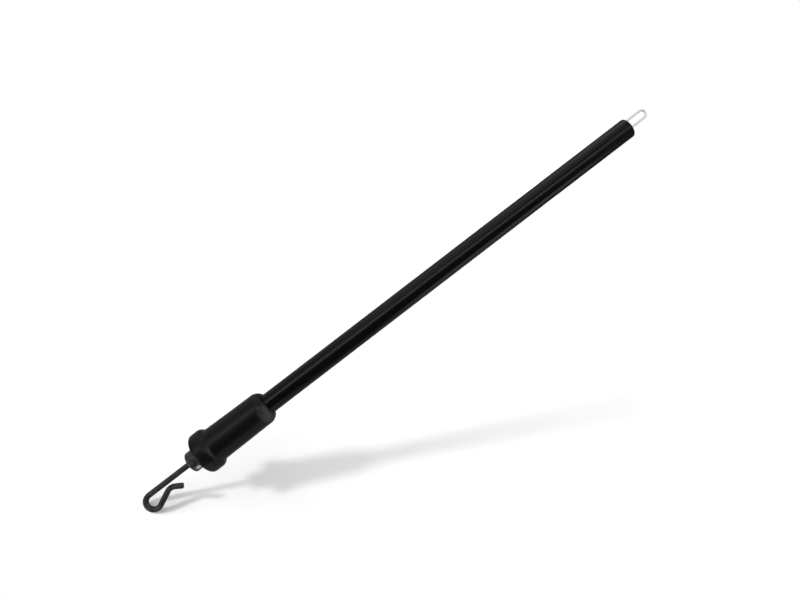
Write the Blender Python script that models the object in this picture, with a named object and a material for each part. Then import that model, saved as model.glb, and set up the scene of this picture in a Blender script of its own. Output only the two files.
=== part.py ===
"""Short hook pole: a wire hook, sprung and swivelling in a nosed socket, on a slim tube with a hanging loop.

The pole lies along X with its hook towards -X, and its widest flange touches the plane z = 0.
Every piece is modelled in the nose frame: x = 0 on the nose's front face, the X axis along the pole.
"""

import math

import bmesh
import bpy
from mathutils import Matrix, Vector

MM = 0.001

# Clearances
GAP = 0.3 * MM
PIN_GAP = 0.25 * MM

# Pole tube
TUBE_RADIUS = 8.25 * MM
TUBE_WALL = 1.0 * MM
TUBE_CHAMFER = 0.4 * MM
POLE_LENGTH = 438.4 * MM
TUBE_BORE = TUBE_RADIUS - TUBE_WALL

# Hook, sized along the centreline of its wire
HOOK_WIRE_RADIUS = 2.2 * MM
SHANK_REACH = 41.9 * MM
EYE_RADIUS = 6.2 * MM
EYE_TURN = math.radians(206.0)
RETURN_LEG = 11.9 * MM
CREST_RADIUS = 7.2 * MM
CREST_TURN = math.radians(54.0)
TIP_LENGTH = 7.6 * MM
CLIP_GROOVE_DEPTH = 0.5 * MM
SHANK_HOLE = HOOK_WIRE_RADIUS + GAP

# Nose and its bearing
NOSE_RADIUS = 8.6 * MM
NOSE_PROTRUSION = 10.0 * MM
NOSE_WALL = 2.5 * MM
NOSE_ROUNDING = 0.8 * MM
BEARING_RADIUS = 4.5 * MM
BEARING_LENGTH = 6.9 * MM

# Spring, its seat and its follower, at rest in the chamber
SEAT_THICKNESS = 1.2 * MM
SPRING_WIRE_RADIUS = 0.6 * MM
SPRING_RADIUS = 4.7 * MM
SPRING_LENGTH = 22.0 * MM
SPRING_COILS = 7
FOLLOWER_THICKNESS = 3.0 * MM
CHAMBER_RADIUS = TUBE_BORE
SLIDE_RADIUS = CHAMBER_RADIUS - GAP

# Clip, ring, washer and nuts
CLIP_THICKNESS = 0.8 * MM
CLIP_WIDTH = 1.6 * MM
CLIP_MOUTH = math.radians(70.0)
RING_THICKNESS = 1.2 * MM
RING_GROOVE_DEPTH = 1.2 * MM
RING_WIDTH = 2.5 * MM
RING_MOUTH = math.radians(40.0)
WASHER_THICKNESS = 1.0 * MM
WASHER_RADIUS = 4.2 * MM
NUT_ACROSS_FLATS = 7.0 * MM
LOCK_NUT_HEIGHT = 3.2 * MM
JAM_NUT_HEIGHT = 2.2 * MM
SHANK_OVERHANG = 1.6 * MM

# Socket that carries the tube, and its pin
SOCKET_RADIUS = 10.5 * MM
SHOULDER_SET_BACK = 3.6 * MM
CHAMBER_END_ROOM = 4.0 * MM
TUBE_SEAT_DEPTH = 18.7 * MM
SOCKET_PIN_RADIUS = 1.25 * MM
PIN_SINK = 0.5 * MM

# Rubber buffer
FLANGE_RADIUS = 17.3 * MM
FLANGE_LENGTH = 11.4 * MM
FLANGE_FRONT_ROUNDING = 3.0 * MM
FLANGE_REAR_ROUNDING = 2.4 * MM
FLANGE_FILLET = 0.6 * MM
BARREL_FRONT_RADIUS = 14.2 * MM
BARREL_REAR_RADIUS = 13.5 * MM
SHOULDER_RADIUS = 8.0 * MM
LIP_THICKNESS = 0.8 * MM

# Tail plug, hanging loop, crimp and pin
PLUG_LENGTH = 14.0 * MM
LOOP_WIRE_RADIUS = 1.0 * MM
LOOP_SPACING = 6.6 * MM
LOOP_REACH = 20.4 * MM
LOOP_OFFSET = 1.75 * MM
CRIMP_LENGTH = 7.0 * MM
CRIMP_WALL = 0.55 * MM
LEG_OVERHANG = 1.0 * MM
TAIL_PIN_RADIUS = 1.0 * MM
TAIL_PIN_DROP = 3.5 * MM

# Facets
ROUND_SIDES = 32
SMALL_SIDES = 24
PIN_SIDES = 12
ARC_STEP = math.radians(15.0)
SHARP_ANGLE = math.radians(35.0)
COIL_POINTS = 9
WIRE_RESOLUTION = 3
SPRING_RESOLUTION = 1

# Stations along the pole, from the nose's front face towards the tail
BEARING_START = NOSE_WALL + GAP
CHAMBER_START = BEARING_START + BEARING_LENGTH + GAP
SEAT_START = CHAMBER_START + GAP
SPRING_START = SEAT_START + SEAT_THICKNESS + GAP
SPRING_END = SPRING_START + SPRING_LENGTH
FOLLOWER_START = SPRING_END + GAP
FOLLOWER_END = FOLLOWER_START + FOLLOWER_THICKNESS
CLIP_END = FOLLOWER_START - GAP
CLIP_START = CLIP_END - CLIP_THICKNESS
RING_START = FOLLOWER_END + GAP
RING_END = RING_START + RING_THICKNESS
WASHER_START = FOLLOWER_END + GAP
LOCK_NUT_START = WASHER_START + WASHER_THICKNESS + GAP
JAM_NUT_START = LOCK_NUT_START + LOCK_NUT_HEIGHT + GAP
SHANK_END = JAM_NUT_START + JAM_NUT_HEIGHT + SHANK_OVERHANG
TUBE_SEAT_START = SHANK_END + CHAMBER_END_ROOM
TUBE_START = TUBE_SEAT_START + GAP
SOCKET_END = TUBE_SEAT_START + TUBE_SEAT_DEPTH
SOCKET_PIN_X = TUBE_SEAT_START + TUBE_SEAT_DEPTH / 2
SHOULDER_START = NOSE_PROTRUSION + SHOULDER_SET_BACK
FLANGE_END = NOSE_PROTRUSION + FLANGE_LENGTH
PLUG_START = POLE_LENGTH - PLUG_LENGTH
CRIMP_END = PLUG_START - GAP
CRIMP_START = CRIMP_END - CRIMP_LENGTH
LEG_END = CRIMP_START - LEG_OVERHANG
HOOK_REACH = SHANK_REACH + EYE_RADIUS + HOOK_WIRE_RADIUS
OVERALL_LENGTH = HOOK_REACH + POLE_LENGTH + LOOP_REACH
NOSE_X = HOOK_REACH - OVERALL_LENGTH / 2

# Finishes: colour, roughness, metallic
BLACK_PAINT = ((0.012, 0.012, 0.013), 0.38, 0.0)
BLACK_RUBBER = ((0.014, 0.014, 0.015), 0.55, 0.0)
DARK_STEEL = ((0.060, 0.058, 0.056), 0.40, 1.0)
NOSE_STEEL = ((0.110, 0.110, 0.112), 0.28, 1.0)
BRIGHT_STEEL = ((0.620, 0.620, 0.610), 0.25, 1.0)
SPRING_STEEL = ((0.300, 0.300, 0.310), 0.35, 1.0)
BRONZE = ((0.360, 0.220, 0.090), 0.45, 1.0)
BLACK_NYLON = ((0.015, 0.015, 0.016), 0.60, 0.0)
CRIMP_ALUMINIUM = ((0.500, 0.500, 0.510), 0.45, 1.0)


def remove_everything():
    """Empties the scene."""
    for thing in list(bpy.data.objects):
        bpy.data.objects.remove(thing, do_unlink=True)


def make_material(name, finish):
    """A Principled material of the given colour, roughness and metallic value."""
    colour, roughness, metallic = finish
    material = bpy.data.materials.new(name)
    material.use_nodes = True
    shader = material.node_tree.nodes["Principled BSDF"]
    shader.inputs["Base Color"].default_value = (*colour, 1.0)
    shader.inputs["Roughness"].default_value = roughness
    shader.inputs["Metallic"].default_value = metallic
    return material


def add_empty(name, parent=None, location=(0.0, 0.0, 0.0)):
    """An empty on the pole's axis, which carries one body's pieces."""
    empty = bpy.data.objects.new(name, None)
    bpy.context.scene.collection.objects.link(empty)
    empty.parent = parent
    empty.location = location
    return empty


def add_piece(name, data, finish, parent):
    """Puts a mesh or curve into the scene as a named piece with its own material."""
    piece = bpy.data.objects.new(name, data)
    bpy.context.scene.collection.objects.link(piece)
    piece.parent = parent
    data.materials.append(make_material(name + "_finish", finish))
    return piece


def finish_mesh(name, shape):
    """Turns a bmesh into a mesh with outward faces, smooth but for its sharp edges."""
    bmesh.ops.recalc_face_normals(shape, faces=shape.faces)
    mesh = bpy.data.meshes.new(name)
    shape.to_mesh(mesh)
    shape.free()
    for face in mesh.polygons:
        face.use_smooth = True
    mesh.set_sharp_from_angle(angle=SHARP_ANGLE)
    return mesh


def arc(centre, radius, start, end):
    """Points of an arc in a plane, from one angle to another, ends included."""
    steps = max(2, math.ceil(abs(end - start) / ARC_STEP))
    angles = [start + (end - start) * i / steps for i in range(steps + 1)]
    return [(centre[0] + radius * math.cos(a), centre[1] + radius * math.sin(a)) for a in angles]


def lathe(name, outline, finish, parent, sides=ROUND_SIDES):
    """Spins a closed outline of (x, radius) points round the pole's axis."""
    shape = bmesh.new()
    corners = [shape.verts.new((x, 0.0, radius)) for x, radius in outline]
    edges = [shape.edges.new((a, b)) for a, b in zip(corners, corners[1:] + corners[:1])]
    bmesh.ops.spin(
        shape,
        geom=corners + edges,
        cent=(0.0, 0.0, 0.0),
        axis=(1.0, 0.0, 0.0),
        angle=2 * math.pi,
        steps=sides,
        use_merge=True,
    )
    return add_piece(name, finish_mesh(name, shape), finish, parent)


def washer(name, start, thickness, inner, outer, finish, parent):
    """A flat ring round the pole's axis."""
    end = start + thickness
    outline = [(start, inner), (start, outer), (end, outer), (end, inner)]
    return lathe(name, outline, finish, parent, SMALL_SIDES)


def split_ring(name, start, thickness, inner, outer, mouth, finish, parent):
    """A flat ring round the pole's axis with a gap in it, centred above the axis."""
    shape = bmesh.new()
    end = start + thickness
    section = [(start, inner), (start, outer), (end, outer), (end, inner)]
    corners = [shape.verts.new((x, 0.0, radius)) for x, radius in section]
    bmesh.ops.rotate(shape, verts=corners, cent=(0, 0, 0), matrix=Matrix.Rotation(mouth / 2, 3, "X"))
    face = shape.faces.new(corners)
    bmesh.ops.spin(
        shape,
        geom=[face],
        cent=(0.0, 0.0, 0.0),
        axis=(1.0, 0.0, 0.0),
        angle=2 * math.pi - mouth,
        steps=SMALL_SIDES,
    )
    return add_piece(name, finish_mesh(name, shape), finish, parent)


def hex_nut(name, start, height, finish, parent):
    """A hexagonal nut with a round hole for the shank."""
    shape = bmesh.new()
    loops = []
    for x in (start, start + height):
        hexagon = []
        hole = []
        for i in range(SMALL_SIDES):
            angle = 2 * math.pi * i / SMALL_SIDES
            past_corner = angle % (math.pi / 3) - math.pi / 6
            reach = NUT_ACROSS_FLATS / 2 / math.cos(past_corner)
            ray = Vector((0.0, math.cos(angle), math.sin(angle)))
            hexagon.append(shape.verts.new(Vector((x, 0, 0)) + reach * ray))
            hole.append(shape.verts.new(Vector((x, 0, 0)) + SHANK_HOLE * ray))
        loops.append((hexagon, hole))
    (front_hexagon, front_hole), (rear_hexagon, rear_hole) = loops
    bands = (
        (front_hexagon, rear_hexagon),
        (rear_hexagon, rear_hole),
        (rear_hole, front_hole),
        (front_hole, front_hexagon),
    )
    for first, second in bands:
        for i in range(SMALL_SIDES):
            j = (i + 1) % SMALL_SIDES
            shape.faces.new((first[i], first[j], second[j], second[i]))
    return add_piece(name, finish_mesh(name, shape), finish, parent)


def rod_mesh(name, start, end, radius, sides=PIN_SIDES):
    """A plain round bar between two points."""
    start, end = Vector(start), Vector(end)
    shape = bmesh.new()
    bmesh.ops.create_cone(
        shape,
        cap_ends=True,
        segments=sides,
        radius1=radius,
        radius2=radius,
        depth=(end - start).length,
    )
    turn = Vector((0, 0, 1)).rotation_difference(end - start).to_matrix().to_4x4()
    shape.transform(Matrix.Translation((start + end) / 2) @ turn)
    return finish_mesh(name, shape)


def drill(piece, name, start, end, radius):
    """Cuts a round hole through a piece, between two points."""
    cutter = bpy.data.objects.new(name, rod_mesh(name, start, end, radius))
    bpy.context.scene.collection.objects.link(cutter)
    cutter.parent = piece.parent
    cutter.hide_render = True
    cutter.display_type = "WIRE"
    hole = piece.modifiers.new(name, "BOOLEAN")
    hole.operation = "DIFFERENCE"
    hole.solver = "EXACT"
    hole.object = cutter


def sweep(name, points, radius, resolution, finish, parent, scales=None):
    """A round wire along a run of points, with closed ends and an optional radius scale at each point."""
    curve = bpy.data.curves.new(name, "CURVE")
    curve.dimensions = "3D"
    curve.bevel_depth = radius
    curve.bevel_resolution = resolution
    curve.use_fill_caps = True
    spline = curve.splines.new("POLY")
    spline.points.add(len(points) - 1)
    for i, (target, point) in enumerate(zip(spline.points, points)):
        target.co = (*point, 1.0)
        target.radius = scales[i] if scales else 1.0
    spline.use_smooth = True
    return add_piece(name, curve, finish, parent)


def make_tube(parent):
    """The slim tube, from its seat in the socket to the tail, drilled for both pins."""
    end = POLE_LENGTH
    outline = [
        (TUBE_START, TUBE_BORE),
        (TUBE_START, TUBE_RADIUS),
        (end - TUBE_CHAMFER, TUBE_RADIUS),
        (end, TUBE_RADIUS - TUBE_CHAMFER),
        (end, TUBE_BORE),
    ]
    tube = lathe("pole_tube", outline, BLACK_PAINT, parent)
    drill_socket_pin(tube, "tube_socket_pin_hole")
    drill_tail_pin(tube, "tube_tail_pin_hole")
    return tube


def drill_socket_pin(piece, name):
    """The hole for the pin that joins socket and tube."""
    reach = 2 * SOCKET_RADIUS
    drill(piece, name, (SOCKET_PIN_X, -reach, 0), (SOCKET_PIN_X, reach, 0), SOCKET_PIN_RADIUS + PIN_GAP)


def tail_pin_x():
    """The tail pin's place, halfway along the plug."""
    return POLE_LENGTH - PLUG_LENGTH / 2


def drill_tail_pin(piece, name):
    """The hole for the pin that joins tube and plug, below the loop's legs."""
    reach = 2 * TUBE_RADIUS
    start = (tail_pin_x(), -reach, -TAIL_PIN_DROP)
    end = (tail_pin_x(), reach, -TAIL_PIN_DROP)
    drill(piece, name, start, end, TAIL_PIN_RADIUS + PIN_GAP)


def make_socket(parent):
    """The turned socket: nose, bearing seat, spring chamber with its ring groove, and the tube's seat."""
    corner = arc((NOSE_ROUNDING, NOSE_RADIUS - NOSE_ROUNDING), NOSE_ROUNDING, math.pi, math.pi / 2)
    outline = [
        (0.0, SHANK_HOLE),
        *corner,
        (SHOULDER_START, NOSE_RADIUS),
        (SHOULDER_START, SOCKET_RADIUS),
        (SOCKET_END, SOCKET_RADIUS),
        (SOCKET_END, TUBE_RADIUS + GAP),
        (TUBE_SEAT_START, TUBE_RADIUS + GAP),
        (TUBE_SEAT_START, CHAMBER_RADIUS),
        (RING_END + GAP, CHAMBER_RADIUS),
        (RING_END + GAP, CHAMBER_RADIUS + RING_GROOVE_DEPTH),
        (RING_START - GAP, CHAMBER_RADIUS + RING_GROOVE_DEPTH),
        (RING_START - GAP, CHAMBER_RADIUS),
        (CHAMBER_START, CHAMBER_RADIUS),
        (CHAMBER_START, BEARING_RADIUS + GAP),
        (NOSE_WALL, BEARING_RADIUS + GAP),
        (NOSE_WALL, SHANK_HOLE),
    ]
    socket = lathe("hook_socket", outline, NOSE_STEEL, parent)
    drill_socket_pin(socket, "socket_pin_hole")
    return socket


def make_buffer(parent):
    """The rubber buffer: rounded flange, tapering barrel and round shoulder, over the socket and the tube's start."""
    front_centre = (NOSE_PROTRUSION + FLANGE_FRONT_ROUNDING, FLANGE_RADIUS - FLANGE_FRONT_ROUNDING)
    rear_centre = (FLANGE_END - FLANGE_REAR_ROUNDING, FLANGE_RADIUS - FLANGE_REAR_ROUNDING)
    socket_room = SOCKET_RADIUS + GAP
    tube_room = TUBE_RADIUS + GAP
    lip_radius = tube_room + LIP_THICKNESS
    shoulder_drop = BARREL_REAR_RADIUS - SHOULDER_RADIUS
    lip_angle = math.asin((lip_radius - shoulder_drop) / SHOULDER_RADIUS)
    shoulder_x = SOCKET_END + GAP
    shoulder = arc((shoulder_x, shoulder_drop), SHOULDER_RADIUS, math.pi / 2, lip_angle)
    lip_x = shoulder[-1][0]
    fillet_centre = (FLANGE_END + FLANGE_FILLET, BARREL_FRONT_RADIUS + FLANGE_FILLET)
    outline = [
        (NOSE_PROTRUSION, NOSE_RADIUS + GAP),
        *arc(front_centre, FLANGE_FRONT_ROUNDING, math.pi, math.pi / 2),
        *arc(rear_centre, FLANGE_REAR_ROUNDING, math.pi / 2, 0.0),
        *arc(fillet_centre, FLANGE_FILLET, math.pi, 1.5 * math.pi),
        *shoulder,
        (lip_x, tube_room),
        (shoulder_x, tube_room),
        (shoulder_x, socket_room),
        (SHOULDER_START - GAP, socket_room),
        (SHOULDER_START - GAP, NOSE_RADIUS + GAP),
    ]
    return lathe("head_buffer", outline, BLACK_RUBBER, parent)


def hook_points():
    """The hook's centreline, from the shank's threaded end to the flared tip, with a radius scale at each point."""
    groove_scale = 1.0 - CLIP_GROOVE_DEPTH / HOOK_WIRE_RADIUS
    groove_step = 0.02 * MM
    groove_start = CLIP_START - GAP
    groove_end = CLIP_END + GAP
    shank = [
        (SHANK_END, 1.0),
        (groove_end, 1.0),
        (groove_end - groove_step, groove_scale),
        (groove_start + groove_step, groove_scale),
        (groove_start, 1.0),
        (0.0, 1.0),
    ]
    points = [(x, 0.0) for x, _ in shank]
    scales = [scale for _, scale in shank]
    eye = arc((-SHANK_REACH, -EYE_RADIUS), EYE_RADIUS, math.pi / 2, math.pi / 2 + EYE_TURN)
    heading = EYE_TURN - math.pi
    leg_end = (
        eye[-1][0] + RETURN_LEG * math.cos(heading),
        eye[-1][1] + RETURN_LEG * math.sin(heading),
    )
    crest_centre = (
        leg_end[0] + CREST_RADIUS * math.sin(heading),
        leg_end[1] - CREST_RADIUS * math.cos(heading),
    )
    crest_start = heading + math.pi / 2
    crest = arc(crest_centre, CREST_RADIUS, crest_start, crest_start - CREST_TURN)
    tip_heading = heading - CREST_TURN
    tip = (
        crest[-1][0] + TIP_LENGTH * math.cos(tip_heading),
        crest[-1][1] + TIP_LENGTH * math.sin(tip_heading),
    )
    points += eye + crest + [tip]
    scales += [1.0] * (len(points) - len(scales))
    return [(x, y, 0.0) for x, y in points], scales


def make_hook(parent):
    """The bent wire hook with its long shank."""
    points, scales = hook_points()
    return sweep("hook", points, HOOK_WIRE_RADIUS, WIRE_RESOLUTION, DARK_STEEL, parent, scales)


def make_spring(parent):
    """The compression spring round the shank, whose gap between turns is measured and printed."""
    first = SPRING_START + SPRING_WIRE_RADIUS
    run = SPRING_LENGTH - 2 * SPRING_WIRE_RADIUS
    count = SPRING_COILS * COIL_POINTS
    points = []
    for i in range(count + 1):
        angle = 2 * math.pi * i / COIL_POINTS
        y = SPRING_RADIUS * math.cos(angle)
        z = SPRING_RADIUS * math.sin(angle)
        points.append(Vector((first + run * i / count, y, z)))
    pairs = zip(points, points[COIL_POINTS:])
    least = min((a - b).length for a, b in pairs) - 2 * SPRING_WIRE_RADIUS
    print(f"draw_spring least gap between turns: {least / MM:.2f} mm")
    return sweep("draw_spring", points, SPRING_WIRE_RADIUS, SPRING_RESOLUTION, SPRING_STEEL, parent)


def loop_legs():
    """The sideways places of the loop's two legs."""
    return LOOP_OFFSET - LOOP_SPACING / 2, LOOP_OFFSET + LOOP_SPACING / 2


def make_plug(parent):
    """The plug in the tube's tail, drilled for the loop's legs and the pin."""
    radius = TUBE_BORE - PIN_GAP
    mesh = rod_mesh("tail_plug", (PLUG_START, 0, 0), (POLE_LENGTH, 0, 0), radius, ROUND_SIDES)
    plug = add_piece("tail_plug", mesh, BLACK_NYLON, parent)
    for side, y in zip(("right", "left"), loop_legs()):
        start = (PLUG_START - PLUG_LENGTH, y, 0)
        end = (POLE_LENGTH + PLUG_LENGTH, y, 0)
        drill(plug, f"plug_{side}_leg_hole", start, end, LOOP_WIRE_RADIUS + PIN_GAP)
    drill_tail_pin(plug, "plug_tail_pin_hole")
    return plug


def make_loop(parent):
    """The U-shaped wire loop, its legs running through the plug and the crimp."""
    right, left = loop_legs()
    bend_radius = LOOP_SPACING / 2
    bend_x = POLE_LENGTH + LOOP_REACH - LOOP_WIRE_RADIUS - bend_radius
    bend = arc((bend_x, LOOP_OFFSET), bend_radius, -math.pi / 2, math.pi / 2)
    points = [(LEG_END, right), *bend, (LEG_END, left)]
    points = [(x, y, 0.0) for x, y in points]
    return sweep("hang_loop", points, LOOP_WIRE_RADIUS, WIRE_RESOLUTION, BRIGHT_STEEL, parent)


def make_crimp(parent):
    """The flat-sided sleeve clamped round both legs behind the plug."""
    right, left = loop_legs()
    half_height = LOOP_WIRE_RADIUS + PIN_GAP + CRIMP_WALL
    outline = arc((left, 0.0), half_height, -math.pi / 2, math.pi / 2)
    outline += arc((right, 0.0), half_height, math.pi / 2, 1.5 * math.pi)
    shape = bmesh.new()
    front = shape.faces.new([shape.verts.new((CRIMP_START, y, z)) for y, z in outline])
    grown = bmesh.ops.extrude_face_region(shape, geom=[front])
    moved = [item for item in grown["geom"] if isinstance(item, bmesh.types.BMVert)]
    bmesh.ops.translate(shape, verts=moved, vec=(CRIMP_LENGTH, 0.0, 0.0))
    crimp = add_piece("loop_crimp", finish_mesh("loop_crimp", shape), CRIMP_ALUMINIUM, parent)
    for side, y in zip(("right", "left"), (right, left)):
        start = (CRIMP_START - CRIMP_LENGTH, y, 0)
        end = (CRIMP_END + CRIMP_LENGTH, y, 0)
        drill(crimp, f"crimp_{side}_leg_hole", start, end, LOOP_WIRE_RADIUS + PIN_GAP)
    return crimp


def make_pins(parent):
    """The two cross pins: one through socket and tube, one through tube and plug."""
    reach = SOCKET_RADIUS - PIN_SINK
    socket_pin = rod_mesh("socket_pin", (SOCKET_PIN_X, -reach, 0), (SOCKET_PIN_X, reach, 0), SOCKET_PIN_RADIUS)
    add_piece("socket_pin", socket_pin, BRIGHT_STEEL, parent)
    lowest = TAIL_PIN_DROP + TAIL_PIN_RADIUS
    reach = math.sqrt(TUBE_RADIUS**2 - lowest**2)
    ends = [(tail_pin_x(), side * reach, -TAIL_PIN_DROP) for side in (-1, 1)]
    add_piece("tail_pin", rod_mesh("tail_pin", *ends, TAIL_PIN_RADIUS), DARK_STEEL, parent)


def make_pole(parent):
    """All the pieces that stay with the pole."""
    make_tube(parent)
    make_socket(parent)
    bearing = (BEARING_START, BEARING_LENGTH, SHANK_HOLE, BEARING_RADIUS)
    washer("nose_bearing", *bearing, BRONZE, parent)
    make_buffer(parent)
    washer("front_spring_seat", SEAT_START, SEAT_THICKNESS, SHANK_HOLE, SLIDE_RADIUS, SPRING_STEEL, parent)
    make_spring(parent)
    ring_outer = CHAMBER_RADIUS + RING_GROOVE_DEPTH - GAP
    ring = (RING_START, RING_THICKNESS, ring_outer - RING_WIDTH, ring_outer, RING_MOUTH)
    split_ring("chamber_ring", *ring, SPRING_STEEL, parent)
    make_plug(parent)
    make_loop(parent)
    make_crimp(parent)
    make_pins(parent)


def make_hook_train(slide, swivel):
    """The follower that slides, and the hook with its clip, washer and nuts, which turns in it."""
    follower = (FOLLOWER_START, FOLLOWER_THICKNESS, SHANK_HOLE, SLIDE_RADIUS)
    washer("spring_follower", *follower, BRONZE, slide)
    make_hook(swivel)
    clip_inner = HOOK_WIRE_RADIUS - CLIP_GROOVE_DEPTH + GAP
    clip = (CLIP_START, CLIP_THICKNESS, clip_inner, clip_inner + CLIP_WIDTH, CLIP_MOUTH)
    split_ring("shank_clip", *clip, SPRING_STEEL, swivel)
    washer("thrust_washer", WASHER_START, WASHER_THICKNESS, SHANK_HOLE, WASHER_RADIUS, BRIGHT_STEEL, swivel)
    hex_nut("lock_nut", LOCK_NUT_START, LOCK_NUT_HEIGHT, BRIGHT_STEEL, swivel)
    hex_nut("jam_nut", JAM_NUT_START, JAM_NUT_HEIGHT, BRIGHT_STEEL, swivel)


def main():
    """Builds the whole pole on three empties: the pole, the sliding follower and the turning hook."""
    remove_everything()
    pole = add_empty("pole_axis", location=(NOSE_X, 0.0, FLANGE_RADIUS))
    slide = add_empty("follower_slide", pole)
    swivel = add_empty("hook_swivel", slide)
    make_pole(pole)
    make_hook_train(slide, swivel)


main()
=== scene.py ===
"""Looks of the short hook pole: wire hook, metal nose, rubber buffer, black tube and bright hanging loop.

The pole lies along X with the hook towards -X. The hook's eye touches a pale floor that leans and
falls away under the pole, and the camera looks down on the pole from close above.
Lengths are in metres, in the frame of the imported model.
"""

import logging
import math
from dataclasses import dataclass
from enum import Enum
from functools import reduce
from typing import Any, ClassVar, Sequence

import bmesh
import bpy
from mathutils import Euler, Matrix, Vector

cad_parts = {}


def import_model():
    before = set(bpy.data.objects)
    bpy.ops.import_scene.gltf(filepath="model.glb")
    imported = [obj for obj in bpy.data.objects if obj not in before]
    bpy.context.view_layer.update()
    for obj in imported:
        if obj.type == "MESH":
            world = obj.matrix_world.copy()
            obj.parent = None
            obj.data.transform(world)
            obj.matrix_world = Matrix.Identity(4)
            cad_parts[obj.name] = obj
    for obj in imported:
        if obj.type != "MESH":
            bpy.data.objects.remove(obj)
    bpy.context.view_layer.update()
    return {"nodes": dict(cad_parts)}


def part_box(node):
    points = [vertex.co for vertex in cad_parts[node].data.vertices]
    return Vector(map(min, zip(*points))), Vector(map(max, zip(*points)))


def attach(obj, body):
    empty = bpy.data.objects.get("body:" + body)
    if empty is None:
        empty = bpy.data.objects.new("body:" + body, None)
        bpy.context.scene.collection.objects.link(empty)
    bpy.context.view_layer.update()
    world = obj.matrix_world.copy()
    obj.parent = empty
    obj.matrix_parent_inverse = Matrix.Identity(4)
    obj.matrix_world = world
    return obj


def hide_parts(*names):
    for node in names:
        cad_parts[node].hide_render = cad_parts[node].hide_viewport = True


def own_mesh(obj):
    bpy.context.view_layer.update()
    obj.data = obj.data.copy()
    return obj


LOG = logging.getLogger("hook_pole")
MM = 0.001
FULL_TURN = 2.0 * math.pi
ALONG = Vector((1.0, 0.0, 0.0))
UP = Vector((0.0, 0.0, 1.0))
Colour = tuple[float, float, float]
Stops = tuple[tuple[float, float], ...]


class Body(Enum):
    """The moving bodies that new pieces ride on."""

    POLE = "pole"
    HOOK = "hook"


class Slot(Enum):
    """The record's material slots."""

    TUBE = "tube_paint"
    NOSE = "nose_steel"
    BRONZE = "bronze"
    RUBBER = "buffer_rubber"
    SPRING = "spring_steel"
    PLATED = "plated_steel"
    HOOK = "hook_wire"
    PLUG = "plug_nylon"
    LOOP = "loop_wire"
    CRIMP = "crimp_aluminium"


class Ray(Enum):
    """The kinds of ray that a surface can tell apart."""

    SEEN = "Is Camera Ray"
    GLOSSY = "Is Glossy Ray"
    THROUGH = "Is Transmission Ray"


@dataclass(frozen=True)
class Noise:
    """A noise's cells per metre along and across the pole, and its finer layers."""

    along: float
    across: float
    detail: float
    roughness: float = 0.55


class Value:
    """A number that varies over a surface: a node's output with Python's arithmetic."""

    def __init__(self, graph: "Graph", socket: bpy.types.NodeSocket) -> None:
        """Wraps a node's output socket.

        Args:
            graph: The graph that the socket belongs to.
            socket: The output socket.
        """
        self.graph = graph
        self.socket = socket

    def _math(self, operation: str, first: Any, second: Any) -> "Value":
        """Adds a Math node.

        Args:
            operation: The Math node's operation.
            first: Its first value.
            second: Its second value.

        Returns:
            The node's result.
        """
        node = self.graph.node("ShaderNodeMath", {"operation": operation}, {0: first, 1: second})
        return Value(self.graph, node.outputs[0])

    def __add__(self, other: Any) -> "Value":
        """This value plus another."""
        return self._math("ADD", self, other)

    __radd__ = __add__

    def __sub__(self, other: Any) -> "Value":
        """This value minus another."""
        return self._math("SUBTRACT", self, other)

    def __rsub__(self, other: Any) -> "Value":
        """Another value minus this one."""
        return self._math("SUBTRACT", other, self)

    def __mul__(self, other: Any) -> "Value":
        """This value times another."""
        return self._math("MULTIPLY", self, other)

    __rmul__ = __mul__

    def __truediv__(self, other: Any) -> "Value":
        """This value over another."""
        return self._math("DIVIDE", self, other)

    def __pow__(self, other: Any) -> "Value":
        """This value to a power."""
        return self._math("POWER", self, other)

    def at_most(self, other: Any) -> "Value":
        """The smaller of this value and another."""
        return self._math("MINIMUM", self, other)

    def at_least(self, other: Any) -> "Value":
        """The larger of this value and another."""
        return self._math("MAXIMUM", self, other)


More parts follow.
